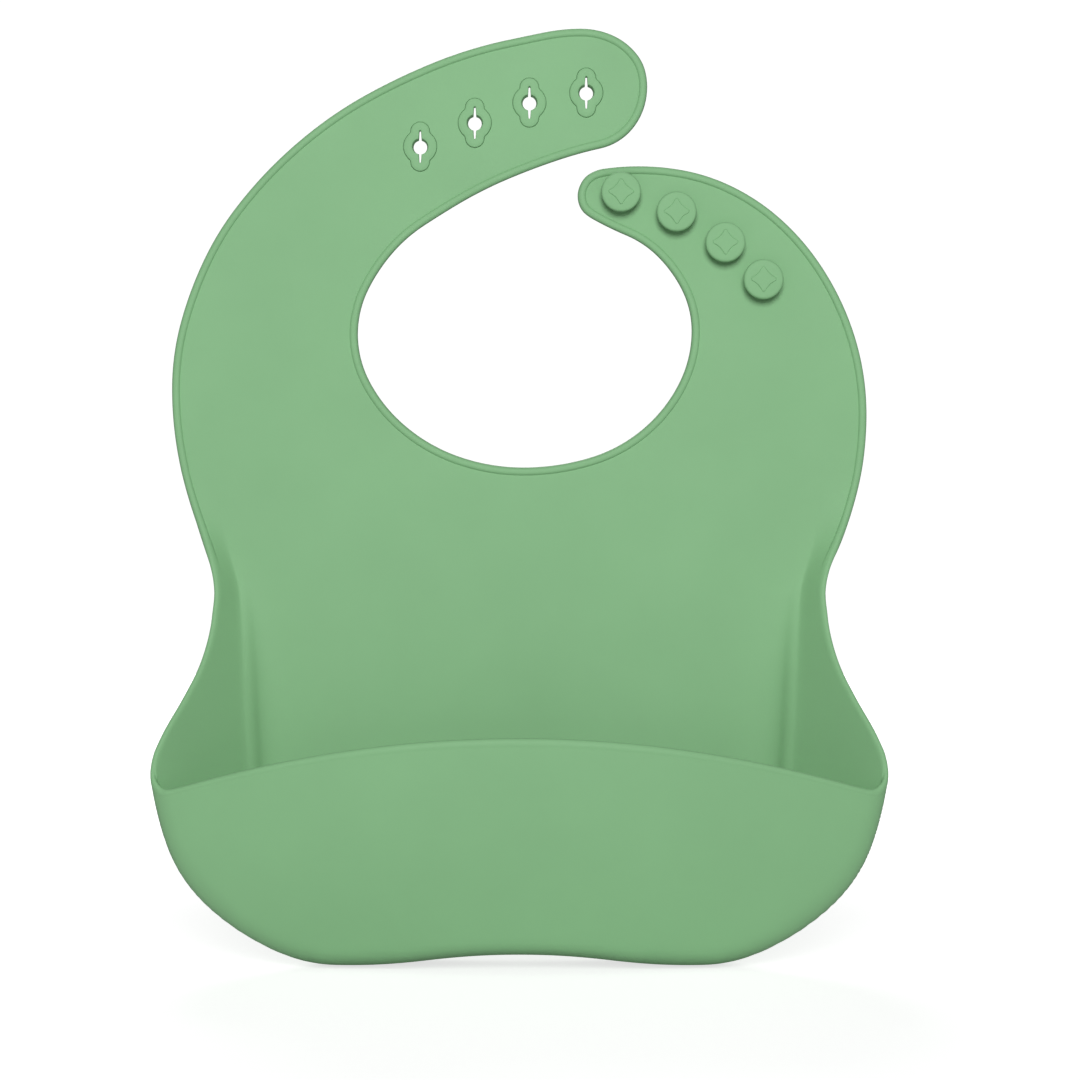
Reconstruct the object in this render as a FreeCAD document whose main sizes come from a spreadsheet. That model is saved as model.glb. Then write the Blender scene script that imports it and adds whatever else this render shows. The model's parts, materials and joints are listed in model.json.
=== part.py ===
import FreeCAD, Part
import math
import os
from FreeCAD import Placement, Rotation, Vector

# One-piece moulded silicone bib with a food-catcher pocket, standing on the bottom of its pocket.
# Millimetres. +X is the viewer's right, -Y points to the viewer, +Z is up. The origin is on the
# standing surface, under the middle of the bib's width and depth. Depths run from the flat back of
# the panel towards the viewer.

DIMENSIONS = {
    "sheet_thickness": 2.0,
    "bead_width": 2.4,
    "bead_rise": 0.7,
    "pocket_depth": 49.0,
    "corner_depth": 33.0,
    "flare_depth": 14.0,
    "split_depth": 30.0,
    "pocket_top": 116.0,
    "rim_centre_height": 70.7,
    "rim_arch_radius": 325.0,
    "rim_lip_height": 2.4,
    "rim_corner_height": 52.5,
    "waist_height": 113.0,
    "waist_depth": 10.0,
    "gusset_wall": 2.6,
    "floor_edge_radius": 9.0,
    "floor_top_height": 24.0,
    "fold_height": 186.0,
    "bend_length": 24.0,
    "curl_place_x": -60.0,
    "curl_place_z": 234.0,
    "curl_run_angle": 43.0,
    "stem_radius": 2.5,
    "stem_height": 3.0,
    "head_radius": 6.2,
    "head_thickness": 2.0,
    "head_edge_round": 0.7,
    "star_reach": 3.85,
    "star_waist": 2.5,
    "star_tip_radius": 0.55,
    "star_rise": 0.25,
    "pad_rise": 0.45,
    "pad_middle_radius": 5.3,
    "pad_lobe_radius": 3.05,
    "pad_lobe_offset": 4.75,
    "buttonhole_radius": 2.4,
    "slit_length": 10.0,
    "slit_width": 0.7,
}

# Key points of the edge, each (x, z, heading in degrees), joined by pairs of tangent arcs: from the
# left waist up the outer edge, round both strap tips and the neck opening, to the right waist.
UPPER_EDGE = [
    (-95.2, 111, 90),
    (-101.5, 135.5, 108),
    (-108.4, 176, 90),
    (-98, 217, 64),
    (-77, 245.5, 45),
    (-48, 267.5, 29),
    (-4, 284.5, 12),
    (19.5, 288, 0),
    (36.6, 279.5, -55),
    (39.5, 270, -90),
    (34.5, 257, -130),
    (13, 248, -162),
    (-20, 233, -149),
    (-39, 219, -132),
    (-50.5, 193, -90),
    (-37.5, 166, -43),
    (1, 151.5, 0),
    (40, 165, 43),
    (53.4, 194, 90),
    (42.5, 217.5, 136),
    (23.5, 228.6, 153),
    (17.9, 236, 90),
    (20.8, 242.1, 48),
    (27.5, 244.6, 9),
    (37, 245.2, 0),
    (64, 239.5, -24),
    (91.5, 217, -54),
    (107.9, 168, -90),
    (103, 136, -107),
    (95.2, 111, -90),
]

# Right half of the panel's lower edge, behind the pocket, from the waist to the middle.
LOWER_EDGE = [
    (95.2, 111, -90),
    (87, 94, -103),
    (82.5, 54, -94),
    (70, 20, -130),
    (45, 6, 180),
    (0, 8, 180),
]

# Right half of the pocket's section at three depths, from the top down to the middle.
SECTION_AT_PANEL = [(88, 116, -94), (82.5, 54, -94), (70, 20, -130), (45, 6, 180), (0, 8, 180)]
SECTION_AT_FLARE = [(97, 116, -92), (94, 54, -95), (82, 19, -133), (49, 0, 180), (0, 3, 180)]
SECTION_AT_FRONT = [(110.3, 116, -90), (110.3, 54, -97), (93, 19.5, -135), (52, 0, 180), (0, 3.5, 180)]

BUTTON_PLACES = [(31.3, 236.7), (48.5, 230.6), (63.6, 221.1), (75.4, 209.6)]
BUTTONHOLE_PLACES = [(-31.1, 251.3), (-14.1, 258.7), (2.9, 265.0), (20.6, 268.1)]

# The open space between the two strap ends, which keeps the button strap apart from the other.
STRAP_GAP_SIDE = 14.0
STRAP_GAP_FLOOR = 212.0
STRAP_GAP_TOP = 246.0

# Half the turn of each star tip's arc.
STAR_TIP_SWING = 52.0

# How far the pocket's hollow draws in: fully on the steep walls, and in proportion to x elsewhere.
STEEP_HEADING = -120.0
TAPER_REACH = 100.0

# Tools reach this far past the faces they cut, and dividing boxes reach far beyond everything.
CLEAR = 5.0
BEYOND = 400.0
STRAIGHT = 1e-5
TO_FRONT = Rotation(Vector(1, 0, 0), 90)


document = FreeCAD.newDocument("silicone_bib")
sheet = document.addObject("Spreadsheet::Sheet", "Dimensions")
for row, (alias, value) in enumerate(DIMENSIONS.items(), start=1):
    sheet.set(f"A{row}", alias)
    sheet.set(f"B{row}", str(value))
    sheet.setAlias(f"B{row}", alias)
document.recompute()


def size(alias):
    return float(sheet.get(alias))


BACK_Y = size("pocket_depth") / 2


def y_at(depth):
    return BACK_Y - depth


# ---------------------------------------------------------------- curves in the x, z plane

def unit(degrees):
    return Vector(math.cos(math.radians(degrees)), math.sin(math.radians(degrees)), 0)


def tangent_arc(start, tangent, end, inset=0.0):
    """The arc from start, leaving along tangent, to end, moved to its right by inset."""
    chord = end - start
    normal = Vector(-tangent.y, tangent.x, 0)
    bend = 2 * chord.dot(normal) / chord.Length ** 2
    if abs(bend) < STRAIGHT:
        shift = normal * -inset
        return Part.LineSegment(start + shift, end + shift)
    centre = start + normal * (1 / bend)
    radius = abs(1 / bend) + math.copysign(inset, bend)
    first = math.atan2(start.y - centre.y, start.x - centre.x)
    last = math.atan2(end.y - centre.y, end.x - centre.x)
    if bend < 0:
        first, last = last, first
    if last < first:
        last += 2 * math.pi
    return Part.ArcOfCircle(Part.Circle(centre, Vector(0, 0, 1), radius), first, last)


def arc_pair(key_a, key_b, inset=0.0):
    """Two tangent arcs between two key points, with equal tangent lengths."""
    start, end = Vector(key_a[0], key_a[1], 0), Vector(key_b[0], key_b[1], 0)
    leave, arrive = unit(key_a[2]), unit(key_b[2])
    chord = end - start
    spread = 2 * (1 - leave.dot(arrive))
    along = chord.dot(leave + arrive)
    if spread < STRAIGHT ** 2:
        reach = chord.dot(chord) / (4 * chord.dot(arrive))
    else:
        reach = (math.sqrt(along ** 2 + spread * chord.dot(chord)) - along) / spread
    middle = (start + end + (leave - arrive) * reach) * 0.5
    half = (middle - start).normalize()
    tangent = half * (2 * leave.dot(half)) - leave
    return [tangent_arc(start, leave, middle, inset), tangent_arc(middle, tangent, end, inset)]


def edge_run(keys, inset=0.0):
    curves = []
    for key_a, key_b in zip(keys, keys[1:]):
        curves += arc_pair(key_a, key_b, inset)
    return curves


def mirrored(keys):
    """The same run on the left side, walked the other way."""
    return [(-x, z, -heading) for x, z, heading in reversed(keys)]


def inset_keys(keys, side, floor):
    """A pocket section drawn in by the wall's thickness, at the sides and above the floor."""
    lowest = min(z for _, z, _ in keys)
    highest = max(z for _, z, _ in keys)
    result = []
    for x, z, heading in keys:
        height_share = (highest - z) / (highest - lowest)
        shrink = side if x > 0 and heading > STEEP_HEADING else side * x / TAPER_REACH
        result.append((x - shrink, z + floor * height_share ** 2, heading))
    return result


def line(start, end):
    return Part.LineSegment(Vector(start[0], start[1], 0), Vector(end[0], end[1], 0))


# ---------------------------------------------------------------- document objects

def make_body(label):
    body = document.addObject("PartDesign::Body", label)
    body.Label = label
    return body


def make_sketch(body, name, plane_role, curves):
    sketch = body.newObject("Sketcher::SketchObject", name)
    plane = [item for item in body.Origin.OriginFeatures if item.Role == plane_role][0]
    sketch.AttachmentSupport = [(plane, "")]
    sketch.MapMode = "FlatFace"
    sketch.addGeometry(curves, False)
    return sketch


def make_pad(body, name, sketch, length):
    pad = body.newObject("PartDesign::Pad", name)
    pad.Profile = sketch
    pad.setExpression("Length", length)
    return pad


def make_cut(label, base, tool):
    result = document.addObject("Part::Cut", label)
    result.Base = base
    result.Tool = tool
    result.Label = label
    return result


def make_common(label, base, tool):
    result = document.addObject("Part::Common", label)
    result.Base = base
    result.Tool = tool
    result.Label = label
    return result


def make_region(label, low, high, turn=0.0, pivot=(0.0, 0.0, 0.0)):
    """A box used only to divide the moulding, turned about Y at pivot."""
    box = document.addObject("Part::Box", label)
    box.Length = high[0] - low[0]
    box.Width = high[1] - low[1]
    box.Height = high[2] - low[2]
    spin = Rotation(Vector(0, 1, 0), -turn)
    corner = spin.multVec(Vector(*low))
    box.Placement = Placement(Vector(*pivot) + corner, spin)
    return box


# ---------------------------------------------------------------- panel and straps

def make_blank():
    """The flat sheet with its raised edge bead, before it is divided at its flexing lines."""
    body = make_body("panel_blank")
    lower_right = edge_run(LOWER_EDGE)
    lower_left = edge_run(mirrored(LOWER_EDGE))
    outline = make_sketch(body, "sheet_outline", "XZ_Plane", edge_run(UPPER_EDGE) + lower_right + lower_left)
    make_pad(body, "sheet_pad", outline, "Dimensions.sheet_thickness")
    inset = size("bead_width")
    outer = edge_run(UPPER_EDGE)
    inner = edge_run(UPPER_EDGE, inset)
    ends = []
    for x, z, heading in (UPPER_EDGE[0], UPPER_EDGE[-1]):
        inward = unit(heading - 90)
        ends.append(line((x, z), (x + inward.x * inset, z + inward.y * inset)))
    band = make_sketch(body, "bead_outline", "XZ_Plane", outer + inner + ends)
    make_pad(body, "bead_pad", band, "Dimensions.sheet_thickness + Dimensions.bead_rise")
    body.setExpression("Placement.Base.y", "Dimensions.pocket_depth / 2")
    return body


def make_lobed_curves():
    """The raised pad round a buttonhole: a round middle with a lobe above and below."""
    middle, lobe, offset = size("pad_middle_radius"), size("pad_lobe_radius"), size("pad_lobe_offset")
    height = (middle ** 2 - lobe ** 2 + offset ** 2) / (2 * offset)
    side = math.sqrt(middle ** 2 - height ** 2)
    on_middle = math.atan2(height, side)
    on_lobe = math.atan2(height - offset, side)
    up, flat = Vector(0, offset, 0), Vector(0, 0, 1)
    return [
        Part.ArcOfCircle(Part.Circle(Vector(), flat, middle), -on_middle, on_middle),
        Part.ArcOfCircle(Part.Circle(up, flat, lobe), on_lobe, math.pi - on_lobe),
        Part.ArcOfCircle(Part.Circle(Vector(), flat, middle), math.pi - on_middle, math.pi + on_middle),
        Part.ArcOfCircle(Part.Circle(-up, flat, lobe), math.pi + on_lobe, 2 * math.pi - on_lobe),
    ]


def make_slit_curves():
    """A round buttonhole with a narrow slit above and below it."""
    hole, reach, half = size("buttonhole_radius"), size("slit_length") / 2, size("slit_width") / 2
    foot = math.sqrt(hole ** 2 - half ** 2)
    right_end = math.atan2(foot, half)
    flat = Vector(0, 0, 1)
    curves = [
        Part.ArcOfCircle(Part.Circle(Vector(), flat, hole), -right_end, right_end),
        Part.ArcOfCircle(Part.Circle(Vector(), flat, hole), math.pi - right_end, math.pi + right_end),
    ]
    for side in (1, -1):
        top = side * (reach - half)
        curves.append(line((half, side * foot), (half, top)))
        curves.append(line((-half, side * foot), (-half, top)))
        start = 0 if side > 0 else math.pi
        tip = Part.Circle(Vector(0, top, 0), flat, half)
        curves.append(Part.ArcOfCircle(tip, start, start + math.pi))
    return curves


def place_on_panel(body, place):
    body.Placement.Base = Vector(place[0], 0, place[1])
    body.setExpression("Placement.Base.y", "Dimensions.pocket_depth / 2")


def make_buttonhole_pad(number, place):
    body = make_body(f"buttonhole_pad_{number}")
    plate = make_sketch(body, f"pad_outline_{number}", "XZ_Plane", make_lobed_curves())
    make_pad(body, f"pad_plate_{number}", plate, "Dimensions.sheet_thickness + Dimensions.pad_rise")
    slit = make_sketch(body, f"slit_outline_{number}", "XZ_Plane", make_slit_curves())
    pocket = body.newObject("PartDesign::Pocket", f"slit_{number}")
    pocket.Profile = slit
    pocket.Type = "ThroughAll"
    pocket.Midplane = True
    place_on_panel(body, place)
    return body


def make_pad_socket(number, place):
    """The same lobed shape as a tool that opens the strap for its buttonhole pad."""
    body = make_body(f"pad_socket_{number}")
    outline = make_sketch(body, f"socket_outline_{number}", "XZ_Plane", make_lobed_curves())
    make_pad(body, f"socket_{number}", outline, f"Dimensions.sheet_thickness + {CLEAR}")
    place_on_panel(body, place)
    return body


def make_star_curves():
    """A four-pointed star with rounded tips and hollow sides."""
    reach, waist, tip = size("star_reach"), size("star_waist"), size("star_tip_radius")
    curves = []
    for turn in (0, 90, 180, 270):
        centre = unit(turn) * (reach - tip)
        round_tip = Part.Circle(centre, Vector(0, 0, 1), tip)
        first, last = turn - STAR_TIP_SWING, turn + STAR_TIP_SWING
        curves.append(Part.ArcOfCircle(round_tip, math.radians(first), math.radians(last)))
        leave = centre + unit(last) * tip
        arrive = unit(turn + 90) * (reach - tip) + unit(first + 90) * tip
        curves.append(Part.Arc(leave, unit(turn + 45) * waist, arrive))
    return curves


def make_button(number, place):
    """A stud with a wide flat head, which carries a low star."""
    body = make_body(f"button_{number}")
    stem, head = size("stem_radius"), size("head_radius")
    under, top = size("stem_height"), size("stem_height") + size("head_thickness")
    edge = size("head_edge_round")
    flat = Vector(0, 0, 1)
    profile = [
        line((0, 0), (stem, 0)),
        line((stem, 0), (stem, under)),
        line((stem, under), (head - edge, under)),
        Part.ArcOfCircle(Part.Circle(Vector(head - edge, under + edge, 0), flat, edge), -math.pi / 2, 0),
        line((head, under + edge), (head, top - edge)),
        Part.ArcOfCircle(Part.Circle(Vector(head - edge, top - edge, 0), flat, edge), 0, math.pi / 2),
        line((head - edge, top), (0, top)),
        line((0, top), (0, 0)),
    ]
    sketch = make_sketch(body, f"button_profile_{number}", "XZ_Plane", profile)
    turned = body.newObject("PartDesign::Revolution", f"button_turned_{number}")
    turned.Profile = sketch
    turned.ReferenceAxis = (sketch, ["V_Axis"])
    turned.Angle = 360
    star = make_sketch(body, f"star_outline_{number}", "XY_Plane", make_star_curves())
    star.setExpression("AttachmentOffset.Base.z", "Dimensions.stem_height + Dimensions.head_thickness")
    make_pad(body, f"star_{number}", star, "Dimensions.star_rise")
    body.Placement = Placement(Vector(place[0], 0, place[1]), TO_FRONT)
    body.setExpression("Placement.Base.y", "Dimensions.pocket_depth / 2 - Dimensions.sheet_thickness")
    return body


def make_strap_parts(blank):
    """The chest panel, and each strap divided where it folds and where it curls."""
    fold, half_bend = size("fold_height"), size("bend_length") / 2
    below, above = fold - half_bend, fold + half_bend
    front, back = -BEYOND, BEYOND
    pivot = (size("curl_place_x"), 0, size("curl_place_z"))
    turn = size("curl_run_angle")
    parts = [
        make_common("chest_panel", blank,
                    make_region("panel_region", (-BEYOND, front, -BEYOND), (BEYOND, back, below))),
        make_common("button_strap_bend", blank,
                    make_region("button_bend_region", (0, front, below), (BEYOND, back, above))),
        make_common("button_strap", blank, make_button_strap_region(above)),
        make_common("buttonhole_strap_bend", blank,
                    make_region("hole_bend_region", (-BEYOND, front, below), (0, back, above))),
    ]
    strap = make_cut("buttonhole_strap_whole", blank, make_region(
        "below_strap_region", (-BEYOND, front, -BEYOND), (BEYOND, back, above)))
    strap = make_cut("buttonhole_strap_alone", strap, make_button_strap_region(above))
    base_region = make_region("base_region", (-BEYOND, front, -BEYOND), (-half_bend, back, BEYOND), turn, pivot)
    curl_region = make_region("curl_region", (-half_bend, front, -BEYOND), (half_bend, back, BEYOND), turn, pivot)
    tip_region = make_region("tip_region", (half_bend, front, -BEYOND), (BEYOND, back, BEYOND), turn, pivot)
    parts.append(make_common("buttonhole_strap_base", strap, base_region))
    parts.append(make_common("buttonhole_strap_curl", strap, curl_region))
    tip = make_common("buttonhole_strap_tip_blank", strap, tip_region)
    for number, place in enumerate(BUTTONHOLE_PLACES, start=1):
        label = "buttonhole_strap_tip" if number == len(BUTTONHOLE_PLACES) else f"strap_tip_opened_{number}"
        tip = make_cut(label, tip, make_pad_socket(number, place))
    parts.append(tip)
    return parts


def make_button_strap_region(above):
    """The wedge-shaped space that holds the button strap, under the buttonhole strap's lower edge."""
    region = document.addObject("Part::Feature", "button_strap_region")
    corners = [
        (0, above),
        (BEYOND, above),
        (BEYOND, STRAP_GAP_TOP),
        (STRAP_GAP_SIDE, STRAP_GAP_TOP),
        (STRAP_GAP_SIDE, STRAP_GAP_FLOOR),
        (0, STRAP_GAP_FLOOR),
        (0, above),
    ]
    wire = Part.makePolygon([Vector(x, BEYOND, z) for x, z in corners])
    region.Shape = Part.Face(wire).extrude(Vector(0, -2 * BEYOND, 0))
    return region


# ---------------------------------------------------------------- food-catcher pocket

def make_section(name, keys, depth):
    """A closed pocket section standing in the plane at depth."""
    right = edge_run(keys)
    left = edge_run(mirrored(keys))
    top = keys[0]
    sketch = document.addObject("Sketcher::SketchObject", name)
    sketch.addGeometry(right + left + [line((top[0], top[1]), (-top[0], top[1]))], False)
    sketch.Placement = Placement(Vector(0, y_at(depth), 0), TO_FRONT)
    sketch.setExpression("Placement.Base.y", f"Dimensions.pocket_depth / 2 - {depth}")
    return sketch


def make_bowl(label, side, floor, front_gap, round_edge):
    """A solid of the pocket's outside, or with side, floor and front_gap set, of its hollow."""
    start = size("sheet_thickness")
    stations = [
        (SECTION_AT_PANEL, start),
        (SECTION_AT_FLARE, size("flare_depth")),
        (SECTION_AT_FRONT, size("corner_depth")),
        (SECTION_AT_FRONT, size("pocket_depth") + CLEAR),
    ]
    loft = document.addObject("Part::Loft", f"{label}_loft")
    loft.Sections = [
        make_section(f"{label}_section_{number}", inset_keys(keys, side, floor), depth)
        for number, (keys, depth) in enumerate(stations)
    ]
    loft.Solid = True
    loft.Ruled = True
    return make_common(label, loft, make_bow(label, floor, front_gap, round_edge))


def make_bow(label, floor, front_gap, round_edge):
    """A large upright drum that bows the pocket's front and rounds it under into the floor."""
    half_width = SECTION_AT_FRONT[1][0]
    sagitta = size("pocket_depth") - size("corner_depth")
    bow_radius = (half_width ** 2 + sagitta ** 2) / (2 * sagitta)
    drum = document.addObject("Part::Cylinder", f"{label}_drum")
    drum.Radius = bow_radius - front_gap
    drum.Height = BEYOND
    drum.Placement.Base = Vector(0, y_at(size("pocket_depth")) + bow_radius, floor)
    document.recompute()
    rounded = document.addObject("Part::Fillet", f"{label}_bow")
    rounded.Base = drum
    rounded.Edges = [(number, round_edge, round_edge) for number in find_bottom_rims(drum.Shape)]
    return rounded


def find_bottom_rims(shape):
    """Numbers of the round edges at the very bottom of a drum."""
    lowest = shape.BoundBox.ZMin
    return [
        number for number, edge in enumerate(shape.Edges, start=1)
        if edge.BoundBox.ZMax < lowest + CLEAR and isinstance(edge.Curve, Part.Circle)
    ]


def make_rim_tools():
    """Two tools that open the pocket's top: along the side lips, and over the arched front rim."""
    side = document.addObject("Part::Feature", "side_lip_tool")
    corner, waist = size("corner_depth"), size("waist_depth")
    profile = [
        (size("sheet_thickness"), size("pocket_top")),
        (waist, size("waist_height")),
        (corner, size("rim_corner_height")),
        (corner, BEYOND),
        (size("sheet_thickness"), BEYOND),
        (size("sheet_thickness"), size("pocket_top")),
    ]
    wire = Part.makePolygon([Vector(-BEYOND, y_at(depth), z) for depth, z in profile])
    side.Shape = Part.Face(wire).extrude(Vector(2 * BEYOND, 0, 0))
    space = make_region("over_rim_space", (-BEYOND, y_at(size("pocket_depth") + CLEAR), 0),
                        (BEYOND, y_at(corner), BEYOND))
    front = make_cut("front_rim_tool", space, make_arch("rim_arch", 0.0))
    return side, front


def make_arch(label, drop):
    """A drum along Y whose top is the arch of the front rim, lowered by drop."""
    drum = document.addObject("Part::Cylinder", label)
    drum.setExpression("Radius", "Dimensions.rim_arch_radius")
    drum.Height = BEYOND
    height = size("rim_centre_height") - size("rim_arch_radius") - drop
    drum.Placement = Placement(Vector(0, BEYOND / 2, height), TO_FRONT)
    return drum


def make_pocket_parts():
    wall = size("sheet_thickness")
    round_edge = size("floor_edge_radius")
    outside = make_bowl("outside", 0.0, 0.0, 0.0, round_edge)
    hollow = make_bowl("hollow", size("gusset_wall"), wall, wall, round_edge - wall)
    shell = make_cut("pocket_shell", outside, hollow)
    side_tool, front_tool = make_rim_tools()
    shell = make_cut("shell_under_side_lips", shell, side_tool)
    shell = make_cut("shell_under_rim", shell, front_tool)
    split_y, level = y_at(size("split_depth")), size("floor_top_height")
    front_space = make_region("front_space", (-BEYOND, -BEYOND, -BEYOND), (BEYOND, split_y, BEYOND))
    behind_low = make_region("floor_space", (-BEYOND, split_y, -BEYOND), (BEYOND, BEYOND, level))
    behind_left = make_region("left_space", (-BEYOND, split_y, level), (0, BEYOND, BEYOND))
    behind_right = make_region("right_space", (0, split_y, level), (BEYOND, BEYOND, BEYOND))
    front = make_common("pocket_front", shell, front_space)
    lower_arch = make_arch("lip_arch", size("rim_lip_height"))
    return [
        make_common("pocket_front_wall", front, lower_arch),
        make_cut("pocket_rim", front, make_arch("rim_underside", size("rim_lip_height"))),
        make_common("pocket_floor", shell, behind_low),
        make_common("pocket_side_left", shell, behind_left),
        make_common("pocket_side_right", shell, behind_right),
    ]


# ---------------------------------------------------------------- build, check, write

def check_document():
    for item in document.Objects:
        if "Invalid" in item.State or "Error" in item.State:
            raise RuntimeError(f"{item.Name} failed: {item.State}")


def write_parts(parts):
    os.makedirs("parts", exist_ok=True)
    for part in parts:
        shape = part.Shape
        if shape.isNull() or not shape.isValid() or not shape.Solids:
            raise RuntimeError(f"{part.Label} has no valid solid")
        shape.exportStep(f"parts/{part.Label}.step")
        box = shape.BoundBox
        print(f"{part.Label:24s} {shape.Volume:9.1f} mm3, solids {len(shape.Solids)}, "
              f"x {box.XMin:.1f}..{box.XMax:.1f} y {box.YMin:.1f}..{box.YMax:.1f} "
              f"z {box.ZMin:.1f}..{box.ZMax:.1f}")


def build():
    blank = make_blank()
    document.recompute()
    parts = make_strap_parts(blank)
    parts += [make_buttonhole_pad(number, place) for number, place in enumerate(BUTTONHOLE_PLACES, start=1)]
    parts += [make_button(number, place) for number, place in enumerate(BUTTON_PLACES, start=1)]
    parts += make_pocket_parts()
    document.recompute()
    check_document()
    write_parts(parts)


build()
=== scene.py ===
import json
import math

import bmesh
import bpy
import numpy as np
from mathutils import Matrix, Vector
from mathutils.geometry import delaunay_2d_cdt


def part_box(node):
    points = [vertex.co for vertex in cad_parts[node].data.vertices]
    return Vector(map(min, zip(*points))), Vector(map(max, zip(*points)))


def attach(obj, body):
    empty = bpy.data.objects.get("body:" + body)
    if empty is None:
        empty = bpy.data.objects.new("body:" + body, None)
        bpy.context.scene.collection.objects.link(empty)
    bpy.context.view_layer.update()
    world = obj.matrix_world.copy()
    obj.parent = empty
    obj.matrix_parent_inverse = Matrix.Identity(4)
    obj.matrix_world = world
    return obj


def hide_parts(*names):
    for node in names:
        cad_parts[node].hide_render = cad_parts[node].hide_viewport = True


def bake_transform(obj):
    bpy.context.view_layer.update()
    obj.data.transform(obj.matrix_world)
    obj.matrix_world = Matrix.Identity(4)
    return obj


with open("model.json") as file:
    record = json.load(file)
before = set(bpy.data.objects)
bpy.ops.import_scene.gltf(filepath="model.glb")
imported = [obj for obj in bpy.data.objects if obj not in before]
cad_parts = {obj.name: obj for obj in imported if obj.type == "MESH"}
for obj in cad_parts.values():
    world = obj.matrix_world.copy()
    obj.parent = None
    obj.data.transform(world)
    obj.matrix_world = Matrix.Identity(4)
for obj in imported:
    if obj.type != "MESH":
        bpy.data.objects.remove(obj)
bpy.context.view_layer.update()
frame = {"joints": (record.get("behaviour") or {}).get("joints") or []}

# Lengths below are in millimetres until a mesh is made. Outlines lie in the x, z plane. Depth runs
# from the flat back of the panel towards the viewer, so that y = BACK - depth.

TO_METRES = 0.001
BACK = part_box("chest_panel")[1][1] / TO_METRES
SHEET = 2.0
TOWARD_VIEWER = np.array([0, 0, 1.0])

# The straps are cut off SEAM_DROP before their folds begin. Above that seam, the short strap is what
# lies to the right of SHORT_STRAP_PLACE and under SHORT_STRAP_TOP.
SEAM_DROP = 4.0
SEAM_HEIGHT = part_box("button_strap_bend")[0][2] / TO_METRES - SEAM_DROP
SHORT_STRAP_PLACE = 14.0
SHORT_STRAP_TOP = 246.0

# ---------------------------------------------------------------- driving sizes

# Key points of the edge, each (x, z, heading in degrees), joined by pairs of tangent arcs: from the
# left waist up the outer edge, round both strap tips and the neck opening, to the right waist.
UPPER_EDGE = [
    (-95.2, 111, 90),
    (-101.5, 135.5, 108),
    (-108.4, 176, 90),
    (-98, 217, 64),
    (-77, 245.5, 45),
    (-48, 267.5, 29),
    (-4, 284.6, 12),
    (19, 288.15, 0),
    (36.8, 279.6, -54),
    (39.6, 270, -90),
    (34.9, 256.8, -130),
    (13.2, 247.6, -162),
    (-20, 233, -149),
    (-39, 219, -132),
    (-50.5, 193, -90),
    (-37.5, 166, -43),
    (1, 151.5, 0),
    (40, 165, 43),
    (53.4, 194, 90),
    (42.5, 217.5, 136),
    (22.8, 228.7, 151),
    (18.8, 232.3, 118),
    (17.9, 236, 90),
    (19.5, 240.9, 56),
    (23.3, 243.8, 22),
    (29, 244.9, 6),
    (37, 245.3, 0),
    (64.1, 239.9, -24),
    (91.7, 217.2, -54),
    (107.9, 168, -90),
    (103, 136, -107),
    (95.2, 111, -90),
]

# Guide lines of the pocket below its side walls, right half, from the side down to the middle.
CREASE_LINE = [(79.1, 62, -92), (78.6, 54, -93), (67.4, 22, -130), (43.5, 10.2, 180), (0, 12.2, 180)]
CREST_LINE = [(84.5, 62, -91), (84, 54, -93), (71.8, 20, -131), (47, 4.6, 180), (0, 7, 180)]
FLOOR_LINE = [(89.4, 62, -90), (88.8, 54, -95), (77.8, 18, -133), (50, 0, 180), (0, 3.5, 180)]
FRONT_LINE = [(113.9, 62, -91), (113.5, 55, -96), (98.8, 19, -135), (57, 1.5, 180), (0, 5.4, 180)]

# Side walls, as (height, value) pairs, and the lip's height over the depth. The last row is how far
# the front wall's corner rounding reaches, from the side wall's foot at 0 to the middle at 1.
CREST_PLACE = [(54, 84), (62, 84.5), (73, 85.2), (98, 86.4), (111, 87.3), (127, 90.8), (150, 94.5)]
CREST_DEPTH = [(54, 6.3), (70, 6.1), (84, 5.2), (98, 3.4), (108, 1.9), (118, 0.6), (130, 0.1), (150, 0)]
EDGE_DEPTH = [(61, 29.7), (71.5, 26.2), (81.2, 21), (91.4, 15.6), (102.3, 11.3), (114, 8.2),
              (125, 5), (135, 2.2), (145, 0.4), (150, 0)]
LIP_HEIGHT = [(0, 150), (8.2, 114), (11.3, 102.3), (15.6, 91.4), (21, 81.2), (26.2, 71.5), (28.3, 66.2),
              (30, 60.6), (31.6, 56.2), (33, 52.9), (34.2, 50.3), (35.9, 46), (38, 40), (60, -60)]

CORNER_REACH_OUT = [(0, 10), (0.12, 18), (0.35, 16), (0.6, 7), (1, 5)]

# The side walls run from SIDE_TOP down to SIDE_FOOT. Under SIDE_TRIM the lip trims the wall, and the
# edge changes from the panel's outline to the wall's line over BLEND_HEIGHT above BLEND_FOOT. Where
# the panel's edge comes forward, it is drawn in by its depth's share of DRAW_IN and swells a little.
SIDE_TOP = 150.0
SIDE_FOOT = 62.0
SIDE_TRIM = 104.0
BLEND_FOOT = 106.0
BLEND_HEIGHT = 8.0
WAIST_FOOT = UPPER_EDGE[0][1]
WAIST_TOP = 175.0
WAIST_INSIDE = 75.0
EDGE_SWELL = 0.6
SWELL_DEPTH = 6.0
DRAW_IN = 800.0

# The crease beside the panel and the soft rib that it leads to.
CREASE_GAP = 5.4
CREASE_SPREAD = 9.0
CREST_HALF = 1.1
CREST_DROP = 0.12
FLAT_MARGIN = 13.0
RIB_REACH = 3.0

# Where a profile's floor point lies. Across a side wall it is a share of the way from the rib to the
# lip, growing with height. Below the side wall it is at a depth that grows towards the middle.
FLOOR_SHARE = 0.13
FLOOR_SHARE_GAIN = 0.32
FLOOR_SHARE_HEIGHT = 30.0
FLOOR_DEPTH = 9.8
FLOOR_DEPTH_GAIN = 6.2

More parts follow.
